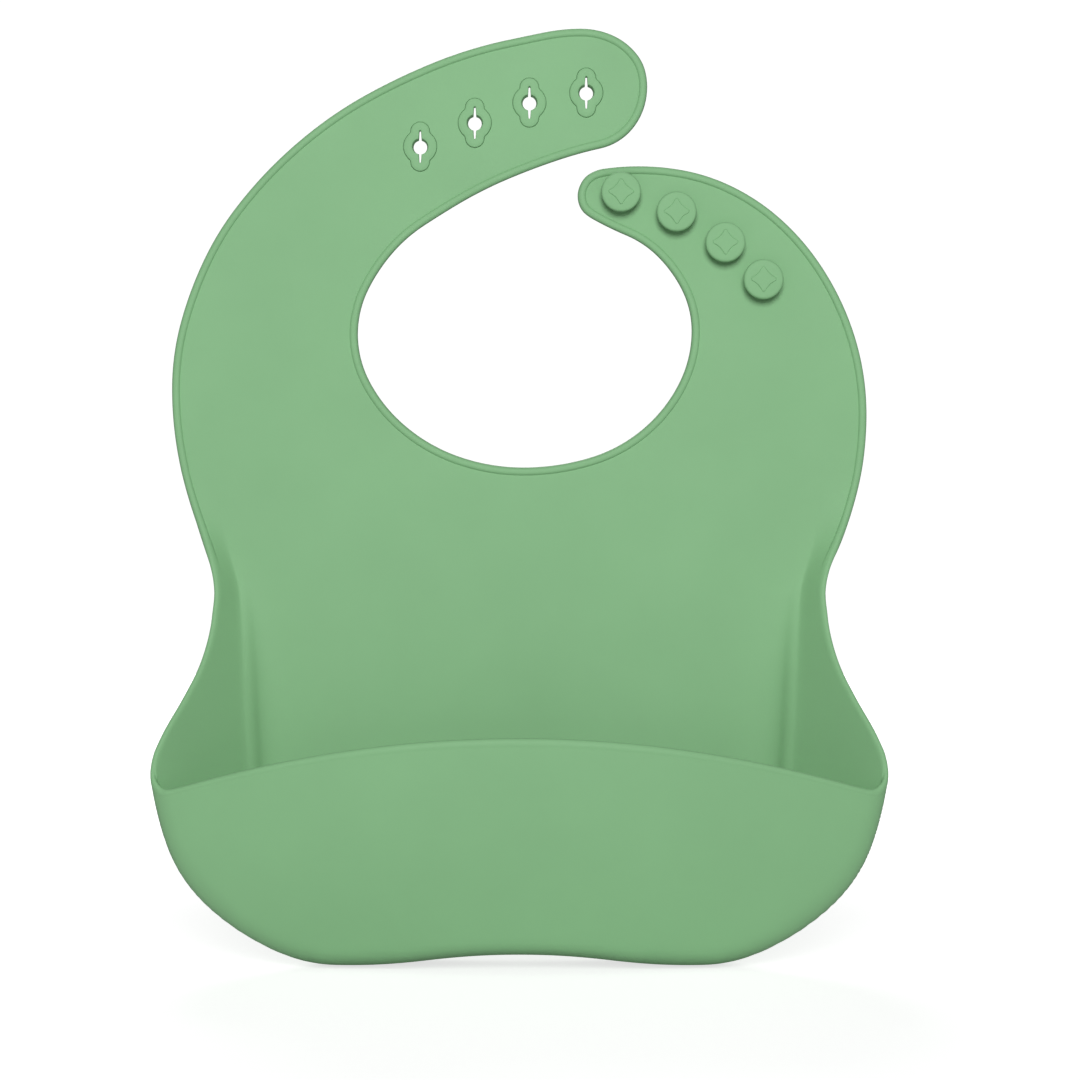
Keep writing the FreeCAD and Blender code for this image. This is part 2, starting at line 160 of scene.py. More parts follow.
# The front wall bows across, draws back towards its foot and has a soft corner round its outside.
POCKET_DEPTH = 49.0
BOW = 1 / 776.0
LEAN = 0.0018
WALL_CORNER_PLACE = 113.9
WALL_AIM = (100.0, 78.0)
CORNER_REACH_IN = 5.0
CORNER_REACH_GAIN = 1.5
REACH_LIMIT = 0.7
WALL_SHARE = 0.62
SOFT_BY = 0.6

# The front rim's height in the middle, how it falls towards its ends and how softly it meets the sides.
RIM_MIDDLE = 70.7
RIM_ARCH = 0.00154
RIM_SOFTNESS = 2.5

# The edge in section: distance in from the edge, height of the front with and without its bead,
# and height of the back with and without it.
EDGE_STEPS = [3.3, 2.85, 2.55, 2.35, 2.1, 1.7, 1.2, 0.75, 0.4, 0.15, 0.0]
BEAD_FRONT = [2.0, 2.0, 1.97, 2.28, 2.5, 2.59, 2.6, 2.52, 2.28, 1.9, 1.3]
LIP_FRONT = [2.0, 2.0, 2.0, 2.0, 2.0, 1.98, 1.93, 1.8, 1.6, 1.3, 0.95]
BEAD_BACK = [0.0, 0.0, 0.0, 0.0, 0.0, 0.01, 0.07, 0.2, 0.4, 0.67]
LIP_BACK = [0.0, 0.0, 0.0, -0.02, -0.05, -0.06, 0.0, 0.14, 0.34, 0.6]

# Mesh fineness. Steps are lengths, counts are numbers of points.
STATION_STEP = 1.6
OUTLINE_STEP = 0.5
ARC_TURN = math.radians(7)
FILL_STEP = 3.2
FILL_ROW_SHARE = 0.866
FILL_CLEAR_SHARE = 0.55
WIDEST_STEP = 1.9
CLOSEST_PLACES = 0.0005
SIDE_COUNT = 50
BOTTOM_COUNT = 60
NEAR_COUNT = 30
FAR_COUNT = 46
WALL_COUNT = 80
CUT_COUNT = 600
CORNER_COUNT = 10
CREASE_COUNT = 24
FOOT_COUNT = 30
SHARPEST_WEIGHT = 0.02
NEARLY_STRAIGHT = 1e-6
NEARLY_PARALLEL = 1e-9
WELD = 1e-7

# The bead fades out down the side walls, over BEAD_FADE above BEAD_FOOT.
BEAD_FOOT = 117.0
BEAD_FADE = 14.0

# Buttonhole pads: a round middle with a lobe above and below and hollows between them, and the hole
# with its slit. The pad's outside and hole are (inset or growth, height) rows.
PAD_MIDDLE = 5.3
PAD_LOBE = 3.05
PAD_LOBE_OFFSET = 4.75
PAD_HOLLOW = 1.0
PAD_TOP = SHEET + 0.45
PAD_OUTSIDE = [(0.0, 0.0), (0.0, SHEET - 0.5), (0.13, SHEET - 0.3), (0.13, SHEET + 0.15),
               (0.2, SHEET + 0.34), (0.42, PAD_TOP)]
PAD_HOLE = [(0.3, PAD_TOP), (0.12, PAD_TOP - 0.06), (0.02, PAD_TOP - 0.2), (0.0, PAD_TOP - 0.45)]
HOLE_RADIUS = 2.45
HOLE_TAPER = 0.35
SLIT_REACH = 5.0
SLIT_ROOT = 0.42
SLIT_TIP = 0.26
MIDDLE_COUNT = 9
HOLLOW_COUNT = 6
LOBE_COUNT = 8
HOLE_COUNT = 11
TIP_COUNT = 5

# Buttons, as (radius, height) from the foot of the stem to the edge of the face, and the star on the
# face, as (inset, height) rows.
BUTTON_PROFILE = [
    (3.5, 0.0), (3.0, 0.12), (2.72, 0.4), (2.58, 0.9), (2.5, 1.5), (2.5, 2.4), (2.62, 2.8),
    (2.95, 2.97), (4.2, 3.0), (5.5, 3.04), (5.93, 3.15), (6.14, 3.4), (6.2, 3.75), (6.18, 4.2),
    (6.1, 4.55), (5.93, 4.8), (5.68, 4.94), (5.3, 5.0),
]
BUTTON_SIDES = 72
STAR_REACH = 3.85
STAR_WAIST = 2.5
STAR_TIP = 0.6
STAR_TIP_TURN = 50
STAR_TIP_COUNT = 7
STAR_SIDE_COUNT = 8
STAR_PROFILE = [(-0.18, 0.0), (-0.11, -0.07), (-0.03, -0.07), (0.03, 0.12), (0.13, 0.2), (0.3, 0.2)]
FASTENER_COUNT = 4


def box_place(name):
    """The middle of a CAD node, as x and z."""
    low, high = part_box(name)
    return [(low[0] + high[0]) / 2 / TO_METRES, (low[2] + high[2]) / 2 / TO_METRES]


BUTTON_PLACES = [box_place(f"button_{number + 1}") for number in range(FASTENER_COUNT)]
BUTTONHOLE_PLACES = [box_place(f"buttonhole_pad_{number + 1}") for number in range(FASTENER_COUNT)]

# Edges that fold more than this many degrees stay sharp.
MOULDING_SHARP = 60
PAD_SHARP = 50
BUTTON_SHARP = 40

# Silicone. Noises are (scale, detail, roughness), and the cloudy shade's stops are (share of the
# noise, factor on the tint). Bumps are (strength, height in metres).
SAGE = (0.248, 0.505, 0.250)
CLOUD_NOISE = (22, 3, 0.5)
CLOUD_STOPS = ((0.3, 0.965), (0.7, 1.02))
POLISH_NOISE = (60, 2, 0.5)
SMOOTHEST = 0.56
ROUGHEST = 0.68
GRAIN_NOISE = (3200, 2, 0.6)
GRAIN_BUMP = (0.22, 0.00008)
WAVE_NOISE = (150, 1, 0.5)
WAVE_BUMP = (0.08, 0.0004)
SHINE = {"Specular IOR Level": 0.3, "Sheen Weight": 0.06, "Sheen Roughness": 0.6}
DUST = (0.5, 0.62, 0.5, 1)
DUST_SCALE = 260
DUST_EDGE = 0.055
DUST_CORE = 0.02
DUST_RARITY = 0.93
DUST_AMOUNT = 0.25

# Stage, light and camera, in metres and watts. Lights are (name, place, aim, size, power).
WHITE = (1, 1, 1, 1)
AMBIENT = 0.13
ROOM_GLOW = 1.05
FLOOR_HALF = 1.7
FLOOR_BASE = (0.62, 0.62, 0.62, 1)
FLOOR_ROUGHNESS = 0.9
FLOOR_SHINE = 0.1
GLOW_START = 0.16
GLOW_END = 0.6
NEAR_GLOW = 0.7
FAR_GLOW = 0.99
LIGHTS = [
    ("key", (0.03, -2.2, 0.9), (0, 0, 0.13), 1.1, 41.0),
    ("back_fill", (-0.3, 2.2, 1.5), (0, 0, 0.15), 1.2, 22.0),
]
VIEW_DISTANCE = 0.8
VIEW_SIDE = 0.0062
VIEW_HEIGHT = 0.1289
VIEW_LENS = 85.7
SENSOR_WIDTH = 36.0


# ---------------------------------------------------------------- plane curves

def unit(degrees):
    """The direction at an angle."""
    return np.array([math.cos(math.radians(degrees)), math.sin(math.radians(degrees))])


def sample_arc(start, tangent, end, step):
    """Points of the arc that leaves start along tangent and reaches end, without its last point."""
    chord = end - start
    length = np.linalg.norm(chord)
    normal = np.array([-tangent[1], tangent[0]])
    bend = 2 * chord.dot(normal) / length ** 2
    turn = 2 * math.asin(max(-1.0, min(1.0, bend * length / 2)))
    count = max(2, math.ceil(length / step), math.ceil(abs(turn) / ARC_TURN))
    shares = np.arange(count) / count
    if abs(bend) < NEARLY_STRAIGHT:
        return start + np.outer(shares, chord)
    centre = start + normal / bend
    spoke = start - centre
    angles = turn * shares
    across = np.array([-spoke[1], spoke[0]])
    return centre + np.outer(np.cos(angles), spoke) + np.outer(np.sin(angles), across)


def sample_edge(keys, step):
    """Points along a chain of key points joined by pairs of tangent arcs of equal tangent length."""
    points = []
    for key_a, key_b in zip(keys, keys[1:]):
        start, end = np.array(key_a[:2], float), np.array(key_b[:2], float)
        leave, arrive = unit(key_a[2]), unit(key_b[2])
        chord = end - start
        spread = 2 * (1 - leave.dot(arrive))
        along = chord.dot(leave + arrive)
        if spread < NEARLY_PARALLEL:
            reach = chord.dot(chord) / (4 * chord.dot(arrive))
        else:
            reach = (math.sqrt(along ** 2 + spread * chord.dot(chord)) - along) / spread
        middle = (start + end + (leave - arrive) * reach) / 2
        half = (middle - start) / np.linalg.norm(middle - start)
        points.append(sample_arc(start, leave, middle, step))
        points.append(sample_arc(middle, 2 * leave.dot(half) * half - leave, end, step))
    points.append(np.array([keys[-1][:2]], float))
    return np.vstack(points)


def arc_lengths(points):
    """The length along a line of points up to each of them."""
    steps = np.linalg.norm(np.diff(points, axis=0), axis=1)
    return np.concatenate([[0.0], np.cumsum(steps)])


def at_lengths(points, wanted):
    """Points at the wanted lengths along a line of points."""
    lengths = arc_lengths(points)
    return np.stack([np.interp(wanted, lengths, points[:, k]) for k in range(points.shape[1])], axis=1)


def along_guide(keys, share):
    """The point a share of the way along a guide line."""
    points = sample_edge(keys, OUTLINE_STEP)
    return at_lengths(points, [share * arc_lengths(points)[-1]])[0]


def smooth_through(pairs):
    """A smooth function through (place, value) pairs that doesn't overshoot between them."""
    place, value = np.array(sorted(pairs), float).T
    gap = np.diff(place)
    slope = np.diff(value) / gap
    tangent = np.zeros_like(value)
    tangent[0], tangent[-1] = slope[0], slope[-1]
    for k in range(1, len(value) - 1):
        if slope[k - 1] * slope[k] > 0:
            tangent[k] = 2 / (1 / slope[k - 1] + 1 / slope[k])

    def value_at(wanted):
        wanted = np.clip(wanted, place[0], place[-1])
        k = int(np.clip(np.searchsorted(place, wanted) - 1, 0, len(gap) - 1))
        t = (wanted - place[k]) / gap[k]
        return ((1 + 2 * t) * (1 - t) ** 2 * value[k] + t * (1 - t) ** 2 * gap[k] * tangent[k]
                + t * t * (3 - 2 * t) * value[k + 1] + t * t * (t - 1) * gap[k] * tangent[k + 1])

    return value_at


def ease(share):
    """A soft step from 0 to 1."""
    share = min(1.0, max(0.0, share))
    return share * share * (3 - 2 * share)


def inside(points, loop):
    """Which points lie inside a closed loop."""
    result = np.zeros(len(points), bool)
    ends = np.roll(loop, -1, axis=0)
    for (x0, z0), (x1, z1) in zip(loop, ends):
        crosses = (z0 > points[:, 1]) != (z1 > points[:, 1])
        if z0 != z1:
            at = x0 + (points[:, 1] - z0) * (x1 - x0) / (z1 - z0)
            result ^= crosses & (points[:, 0] < at)
    return result


# ---------------------------------------------------------------- the pocket's profiles

crest_place = smooth_through(CREST_PLACE)
crest_depth = smooth_through(CREST_DEPTH)
edge_depth = smooth_through(EDGE_DEPTH)
lip_height = smooth_through(LIP_HEIGHT)
corner_reach = smooth_through(CORNER_REACH_OUT)
edge_samples = sample_edge(UPPER_EDGE, OUTLINE_STEP)


def panel_edge_place(z, side):
    """How far out the panel's edge is at height z, brought in where the edge turns forward."""
    half = edge_samples[edge_samples[:, 0] * side > WAIST_INSIDE]
    half = half[half[:, 1] < WAIST_TOP]
    order = np.argsort(half[:, 1])
    place = abs(np.interp(max(z, WAIST_FOOT), half[order, 1], half[order, 0]))
    depth = edge_depth(z)
    return place * (1 - depth / DRAW_IN) + EDGE_SWELL * ease(depth / SWELL_DEPTH)


def rounded_corner(before, corner, after, reach_in, reach_out, count=CORNER_COUNT):
    """An arc, or part of an ellipse where the reaches differ, between two straight runs."""
    back = before - corner
    ahead = after - corner
    back_length, ahead_length = np.linalg.norm(back), np.linalg.norm(ahead)
    back, ahead = back / back_length, ahead / ahead_length
    start = corner + back * min(reach_in, REACH_LIMIT * back_length)
    end = corner + ahead * min(reach_out, REACH_LIMIT * ahead_length)
    weight = math.sqrt(max(SHARPEST_WEIGHT, (1 - back.dot(ahead)) / 2))
    t = np.linspace(0, 1, count)[:, None]
    total = (1 - t) ** 2 + 2 * weight * t * (1 - t) + t ** 2
    return ((1 - t) ** 2 * start + 2 * weight * t * (1 - t) * corner + t ** 2 * end) / total


def wall_depth(x, z):
    """Depth of the front wall's outside, which bows across and draws back towards its foot."""
    return POCKET_DEPTH - BOW * x ** 2 - LEAN * (WALL_AIM[1] - z) ** 2


def front_wall(start, aim):
    """The front wall's line from its foot towards its aim point, as x, z, depth."""
    t = np.linspace(0, 1, WALL_COUNT)[:, None]
    plan = np.array(start[:2]) * (1 - t) + np.array(aim) * t
    return np.column_stack([plan, wall_depth(plan[:, 0], plan[:, 1])])


def over_lip(points):
    """How far points stand above the lip, which runs down the side walls and over the front rim."""
    side = np.array([lip_height(depth) for depth in points[:, 2]])
    rim = RIM_MIDDLE - RIM_ARCH * points[:, 0] ** 2
    lip = (side + rim + np.sqrt((side - rim) ** 2 + RIM_SOFTNESS ** 2)) / 2
    return points[:, 1] - lip


def cut_at_lip(points):
    """The part of a profile under the lip."""
    points = at_lengths(points, np.linspace(0, arc_lengths(points)[-1], CUT_COUNT))
    above = over_lip(points)
    first = int(np.argmax(above > 0))
    share = above[first - 1] / (above[first - 1] - above[first])
    crossing = points[first - 1] + (points[first] - points[first - 1]) * share
    return np.vstack([points[:first], crossing])


def near_profile(crease, crest, floor):
    """The crease in front of the panel, the soft rib beside it and the start of the wall."""
    across = crest - crease
    across[2] = 0
    across /= np.linalg.norm(across)
    flat = crease - across * FLAT_MARGIN
    rise = crest - across * CREST_HALF - TOWARD_VIEWER * CREST_DROP * crest[2]
    fall = crest + across * CREST_HALF
    return np.vstack([
        flat,
        rounded_corner(flat, crease, rise, CREASE_SPREAD, np.inf, CREASE_COUNT),
        rounded_corner(crease, rise, fall, CREST_HALF, CREST_HALF),
        rounded_corner(rise, fall, floor, CREST_HALF, RIB_REACH),
        floor,
    ])


def around_corner(floor, corner, wall, reach_in, reach_out):
    """The floor and the front wall's line, joined by their soft corner."""
    reach = np.linalg.norm(wall - corner, axis=1)
    beyond = wall[reach > min(reach_out, WALL_SHARE * reach[-1])]
    turn = rounded_corner(floor, corner, beyond[0], reach_in, np.inf, FOOT_COUNT)
    return np.vstack([floor, turn[:-1], beyond])


def side_profile(z, side):
    """The profile across a side wall at height z."""
    crest = np.array([crest_place(z), z, crest_depth(z)])
    crease = np.array([crest[0] - CREASE_GAP, z, 0.0])
    depth = max(edge_depth(z), crest[2])
    corner = np.array([WALL_CORNER_PLACE, z, wall_depth(WALL_CORNER_PLACE, z)])
    fall = crest + np.array([CREST_HALF, 0, 0])
    ruled = fall[0] + (corner[0] - fall[0]) * (depth - fall[2]) / (corner[2] - fall[2])
    share = ease((z - BLEND_FOOT) / BLEND_HEIGHT)
    lip = np.array([panel_edge_place(z, side) * share + ruled * (1 - share), z, depth])
    along = FLOOR_SHARE + FLOOR_SHARE_GAIN * ease((z - SIDE_FOOT) / FLOOR_SHARE_HEIGHT)
    floor = fall + (lip - fall) * along
    near = near_profile(crease, crest, floor)
    if z >= SIDE_TRIM:
        return near, np.vstack([floor, lip])
    wall = front_wall(corner, WALL_AIM)
    return near, cut_at_lip(around_corner(floor, corner, wall, CORNER_REACH_IN, corner_reach(0)))


def lower_profile(share):
    """The profile part of the way from the foot of the side wall to the middle of the pocket."""
    soft = ease(share / SOFT_BY)
    crease, crest, floor, corner = (
        along_guide(keys, share) for keys in (CREASE_LINE, CREST_LINE, FLOOR_LINE, FRONT_LINE))
    crest = np.array([*crest, CREST_DEPTH[0][1]])
    crease = np.array([*crease, 0.0])
    floor = np.array([*floor, FLOOR_DEPTH + FLOOR_DEPTH_GAIN * soft])
    corner = np.array([*corner, wall_depth(*corner)])
    wall = front_wall(corner, (WALL_AIM[0] * (1 - share), WALL_AIM[1]))
    reach_in = CORNER_REACH_IN + CORNER_REACH_GAIN * soft
    far = cut_at_lip(around_corner(floor, corner, wall, reach_in, corner_reach(share)))
    return near_profile(crease, crest, floor), far


def profile_points(place, side):
    """A profile's points at matching places from the flat panel to its edge. Place runs from 0 at
    the top of the side wall over 1 at its foot to 2 in the middle of the pocket."""
    if place <= 1:
        near, far = side_profile(SIDE_TOP + (SIDE_FOOT - SIDE_TOP) * place, side)
    else:
        near, far = lower_profile(place - 1)
    near_points = at_lengths(near, np.linspace(0, arc_lengths(near)[-1], NEAR_COUNT))
    total = arc_lengths(far)[-1]
    far_points = at_lengths(far, np.linspace(0, total - EDGE_STEPS[0], FAR_COUNT))
    edge_points = at_lengths(far, total - np.array(EDGE_STEPS))
    return np.vstack([near_points[:-1], far_points[:-1], edge_points])


def bowl_stations():
    """All pocket stations, from the left side's top round the bottom to the right side's top, and
    how much of a bead each has on its edge."""
    places = list(np.linspace(0, 1, SIDE_COUNT)) + list(np.linspace(1, 2, BOTTOM_COUNT)[1:])
    profiles = [profile_points(place, -1) for place in places]
    k = 1
    while k < len(places):
        gap = np.linalg.norm(profiles[k] - profiles[k - 1], axis=1).max()
        if gap > WIDEST_STEP and places[k] - places[k - 1] > CLOSEST_PLACES:
            places.insert(k, (places[k] + places[k - 1]) / 2)
            profiles.insert(k, profile_points(places[k], -1))
        else:
            k += 1
    left = np.array(profiles) * [-1, 1, 1]
    right = np.array([profile_points(place, 1) for place in places])
    heights = SIDE_TOP + (SIDE_FOOT - SIDE_TOP) * np.minimum(places, 1)
    bead = np.array([ease((z - BEAD_FOOT) / BEAD_FADE) for z in heights])
    return np.concatenate([left, right[-2::-1]]), np.concatenate([bead, bead[-2::-1]])


def grid_normals(points):
    """Unit normals of a grid of x, z, depth points, towards the front of the sheet."""
    down = np.gradient(points, axis=0)
    across = np.gradient(points, axis=1)
    normal = np.cross(down, across)
    normal[0] = normal[-1] = np.array([0, 0, -1.0])
    return -normal / np.linalg.norm(normal, axis=2, keepdims=True)


# ---------------------------------------------------------------- the moulding as one closed mesh

class MeshMaker:
    """Gathers vertices as x, z, depth and faces, and turns them into a Blender mesh."""

    def __init__(self):
        self.places = []
        self.faces = []

    def add(self, points):
        """Adds vertices and returns their numbers."""
        first = sum(len(block) for block in self.places)
        self.places.append(np.asarray(points, float).reshape(-1, 3))
        return np.arange(first, first + len(self.places[-1]))

    def strip(self, rows):
        """Quads between neighbouring rows of vertex numbers."""
        for row, following in zip(rows, rows[1:]):
            for a, b, c, d in zip(row, row[1:], following[1:], following):
                self.faces.append((a, b, c, d))

    def mesh(self, name):
        """A Blender mesh of everything gathered, in metres."""
        places = np.vstack(self.places)
        verts = np.column_stack([places[:, 0], BACK - places[:, 2], places[:, 1]]) * TO_METRES
        mesh = bpy.data.meshes.new(name)
        mesh.from_pydata(verts.tolist(), [], [[int(k) for k in face] for face in self.faces])
        mesh.validate()
        return mesh


def edge_heights(bead):
    """Heights of the front and back over the edge's section, for a bead from 0 to 1."""
    front = np.array(LIP_FRONT) * (1 - bead) + np.array(BEAD_FRONT) * bead
    back = np.array(LIP_BACK) * (1 - bead) + np.array(BEAD_BACK) * bead
    return front, back


def upper_stations():
    """The panel's edge above the pocket's sides, each station as base points going inwards."""
    edge = sample_edge(UPPER_EDGE, STATION_STEP)
    above = np.flatnonzero(edge[:, 1] > SIDE_TOP + STATION_STEP / 2)
    edge = edge[above[0]:above[-1] + 1]
    ahead = np.gradient(edge, axis=0)
    ahead /= np.linalg.norm(ahead, axis=1, keepdims=True)
    inward = np.column_stack([ahead[:, 1], -ahead[:, 0]])
    places = edge[:, None, :] + inward[:, None, :] * np.array(EDGE_STEPS)[None, :, None]
    return np.concatenate([places, np.zeros(places.shape[:2] + (1,))], axis=2)


def fill_points(loop, holes, spacing):
    """Evenly scattered points inside a loop and clear of its edge and its holes."""
    low, high = loop.min(axis=0), loop.max(axis=0)
    columns = np.arange(low[0], high[0], spacing)
    rows = np.arange(low[1], high[1], spacing * FILL_ROW_SHARE)
    grid = np.array([(x + (k % 2) * spacing / 2, z) for k, z in enumerate(rows) for x in columns])
    keep = inside(grid, loop)
    for edge in [loop] + holes:
        near = np.full(len(grid), np.inf)
        for point in edge:
            near = np.minimum(near, np.hypot(grid[:, 0] - point[0], grid[:, 1] - point[1]))
        keep &= near > spacing * FILL_CLEAR_SHARE
    for hole in holes:
        keep &= ~inside(grid, hole)
    return grid[keep]


def triangulate(loop, holes, scattered):
    """Triangles over the loop less its holes, as numbers into loop + holes + scattered."""
    rings = [loop] + holes
    points = np.vstack(rings + ([scattered] if len(scattered) else []))
    edges = []
    first = 0
    for ring in rings:
        edges += [(first + k, first + (k + 1) % len(ring)) for k in range(len(ring))]
        first += len(ring)
    result = delaunay_2d_cdt([Vector(p) for p in points], edges, [], 0, WELD, True)
    source = [ids[0] if ids else -1 for ids in result[3]]
    triangles = np.array([[source[k] for k in face] for face in result[2] if len(face) == 3])
    centres = points[triangles].mean(axis=1)
    keep = inside(centres, loop)
    for hole in holes:
        keep &= ~inside(centres, hole)
    return triangles[keep]


def whole_outline(quarter):
    """A closed outline from its upper right quarter, mirrored to the left and then downwards."""
    quarter = np.array(quarter)
    left = quarter[::-1][1:] * [-1, 1]
    top = np.vstack([quarter, left])
    bottom = top[::-1][1:-1] * [1, -1]
    return np.vstack([top, bottom])


def lobed_outline(inset=0.0):
    """The raised pad round a buttonhole: a round middle with a lobe above and below."""
    middle, lobe, blend = PAD_MIDDLE - inset, PAD_LOBE - inset, PAD_HOLLOW + inset
    offset = PAD_LOBE_OFFSET
    height = ((middle + blend) ** 2 - (lobe + blend) ** 2 + offset ** 2) / (2 * offset)
    side = math.sqrt((middle + blend) ** 2 - height ** 2)
    hollow = np.array([side, height])
    on_middle = math.atan2(height, side)
    on_lobe = math.atan2(height - offset, side)
    first = [middle * np.array([math.cos(a), math.sin(a)])
             for a in np.linspace(0, on_middle, MIDDLE_COUNT)]
    turn = np.linspace(on_middle + math.pi, on_lobe + math.pi, HOLLOW_COUNT)[1:-1]
    second = [hollow + blend * np.array([math.cos(a), math.sin(a)]) for a in turn]
    third = [np.array([0, offset]) + lobe * np.array([math.cos(a), math.sin(a)])
             for a in np.linspace(on_lobe, math.pi / 2, LOBE_COUNT)]
    return whole_outline(first + second + third)


def slit_outline(grow=0.0, narrow=0.0):
    """A round buttonhole, narrowed on its own if wanted, with a tapered slit above and below it."""
    hole, reach = HOLE_RADIUS + grow - narrow, SLIT_REACH + grow
    root, tip = SLIT_ROOT + grow, SLIT_TIP + grow
    start = math.acos(root / hole)
    first = [hole * np.array([math.cos(a), math.sin(a)]) for a in np.linspace(0, start, HOLE_COUNT)]
    last = [np.array([tip * math.cos(a), reach - tip + tip * math.sin(a)])
            for a in np.linspace(0, math.pi / 2, TIP_COUNT)]
    between = np.array([(root + tip) / 2, (first[-1][1] + reach - tip) / 2])
    return whole_outline(first + [between] + last)


def at_depth(outline, depth):
    """An outline's points as x, z, depth."""
    return np.column_stack([outline, np.full(len(outline), depth)])


def add_station(maker, station, normal, bead):
    """Vertices of the sheet's front and back along one station. They share the vertex at the edge."""
    flat = len(station) - len(EDGE_STEPS)
    front_edge, back_edge = edge_heights(bead)
    front_height = np.concatenate([np.full(flat, SHEET), front_edge])
    back_height = np.concatenate([np.zeros(flat), back_edge])
    normal = np.broadcast_to(normal, station.shape)
    front = maker.add(station + normal * front_height[:, None])
    back = maker.add(station[:-1] + normal[:-1] * back_height[:, None])
    return front, np.append(back, front[-1])


def add_pad_openings(maker):
    """Walls of the openings for the buttonhole pads. Returns outlines and front and back vertices."""
    outlines, fronts, backs = [], [], []
    for place in BUTTONHOLE_PLACES:
        outline = lobed_outline() + np.array(place)
        front = maker.add(at_depth(outline, SHEET))
        back = maker.add(at_depth(outline, 0.0))
        maker.strip([np.append(front, front[0]), np.append(back, back[0])])
        outlines.append(outline)
        fronts.append(front)
        backs.append(back)
    return outlines, fronts, backs


def flat_loop(rows, ring):
    """The vertices round the flat panel: along the pocket's stations, then round the upper edge."""
    spoke = slice(1, len(rows[0]) - len(EDGE_STEPS))
    return np.concatenate([[row[0] for row in rows], rows[-1][spoke],
                           [row[0] for row in ring[::-1]], rows[0][spoke][::-1]])


def add_flat_panel(maker, front_loop, back_loop):
    """The flat middle of the sheet, front and back, between its edge and the buttonhole pads."""
    loop = np.vstack(maker.places)[back_loop][:, :2]
    holes, hole_front, hole_back = add_pad_openings(maker)
    scattered = fill_points(loop, holes, FILL_STEP)
    triangles = triangulate(loop, holes, scattered)
    high = maker.add(at_depth(scattered, SHEET))
    low = maker.add(at_depth(scattered, 0.0))
    front = np.concatenate([front_loop] + hole_front + [high])
    back = np.concatenate([back_loop] + hole_back + [low])
    for a, b, c in triangles:
        maker.faces.append((front[a], front[b], front[c]))
        maker.faces.append((back[c], back[b], back[a]))


def make_moulding():
    """The whole bib without buttons and buttonhole pads, as one closed surface."""
    maker = MeshMaker()
    bowl, bead = bowl_stations()
    edge = slice(-len(EDGE_STEPS), None)
    rows = [add_station(maker, *station) for station in zip(bowl, grid_normals(bowl), bead)]
    upper = [add_station(maker, station, TOWARD_VIEWER, 1.0) for station in upper_stations()]
    front_rows, back_rows = zip(*rows)
    front_upper, back_upper = zip(*upper)
    front_ring = [front_rows[0][edge], *front_upper, front_rows[-1][edge]]
    back_ring = [back_rows[0][edge], *back_upper, back_rows[-1][edge]]
    maker.strip(front_rows)
    maker.strip([row[::-1] for row in back_rows])
    maker.strip([row[::-1] for row in front_ring])
    maker.strip(back_ring)
    add_flat_panel(maker, flat_loop(front_rows, front_ring), flat_loop(back_rows, back_ring))
    return maker.mesh("moulding")


# ---------------------------------------------------------------- pads and buttons

def ring_stack(maker, rings):
    """Joins closed rings of equal count, each given as x, z, depth points."""
    rows = []
    for ring in rings:
        ids = maker.add(ring)
        rows.append(np.append(ids, ids[0]))
    maker.strip(rows)
    return rows


def fill_between(maker, loop, hole, flip=False):
    """Flat triangles between two rings of vertices, wound the other way if flip is set."""
    places = np.vstack(maker.places)
    triangles = triangulate(places[loop][:, :2], [places[hole][:, :2]], np.zeros((0, 2)))
    ids = np.concatenate([loop, hole])
    for a, b, c in triangles:
        maker.faces.append((ids[c], ids[b], ids[a]) if flip else (ids[a], ids[b], ids[c]))


def make_pad_mesh(name, place):
    """A buttonhole pad: raised on the front, flat behind, open through its hole and slit."""
    maker = MeshMaker()
    centre = np.array(place)
    outer = ring_stack(maker, [at_depth(lobed_outline(inset) + centre, depth)
                               for inset, depth in PAD_OUTSIDE])
    hole = [at_depth(slit_outline(grow) + centre, depth) for grow, depth in PAD_HOLE]
    inner = ring_stack(maker, hole + [at_depth(slit_outline(narrow=HOLE_TAPER) + centre, 0.0)])
    fill_between(maker, outer[-1][:-1], inner[0][:-1])
    fill_between(maker, outer[0][:-1], inner[-1][:-1], flip=True)
    return maker.mesh(name)


def star_outline(shrink):
    """A four-pointed star with rounded tips and slightly hollow sides."""
    reach, waist, tip = STAR_REACH - shrink, STAR_WAIST - shrink, STAR_TIP
    points = []
    for turn in (0, 90, 180, 270):
        centre = unit(turn) * (reach - tip)
        for angle in np.linspace(-STAR_TIP_TURN, STAR_TIP_TURN, STAR_TIP_COUNT):
            points.append(centre + unit(turn + angle) * tip)
        start = points[-1]
        end = unit(turn + 90) * (reach - tip) + unit(turn + 90 - STAR_TIP_TURN) * tip
        bulge = unit(turn + 45) * waist * 2 - (start + end) / 2
        for t in np.linspace(0, 1, STAR_SIDE_COUNT)[1:-1]:
            points.append((1 - t) ** 2 * start + 2 * t * (1 - t) * bulge + t * t * end)
    return np.array(points)


def make_button_mesh(name, place):
    """A stud button: a flared stem, a rounded head and a low star on its face."""
    maker = MeshMaker()
    centre = np.array(place)
    circle = np.array([unit(360 * k / BUTTON_SIDES) for k in range(BUTTON_SIDES)])
    rings = ring_stack(maker, [at_depth(circle * radius + centre, SHEET + height)
                               for radius, height in BUTTON_PROFILE])
    top = SHEET + BUTTON_PROFILE[-1][1]
    star = ring_stack(maker, [at_depth(star_outline(shrink) + centre, top + height)
                              for shrink, height in STAR_PROFILE])
    middle = maker.add([[*centre, top + STAR_PROFILE[-1][1]]])[0]
    foot = maker.add([[*centre, SHEET]])[0]
    for a, b in zip(star[-1], star[-1][1:]):
        maker.faces.append((a, b, middle))
    for a, b in zip(rings[0], rings[0][1:]):
        maker.faces.append((b, a, foot))
    fill_between(maker, rings[-1][:-1], star[0][:-1])
    return maker.mesh(name)


# ---------------------------------------------------------------- dividing and finishing meshes

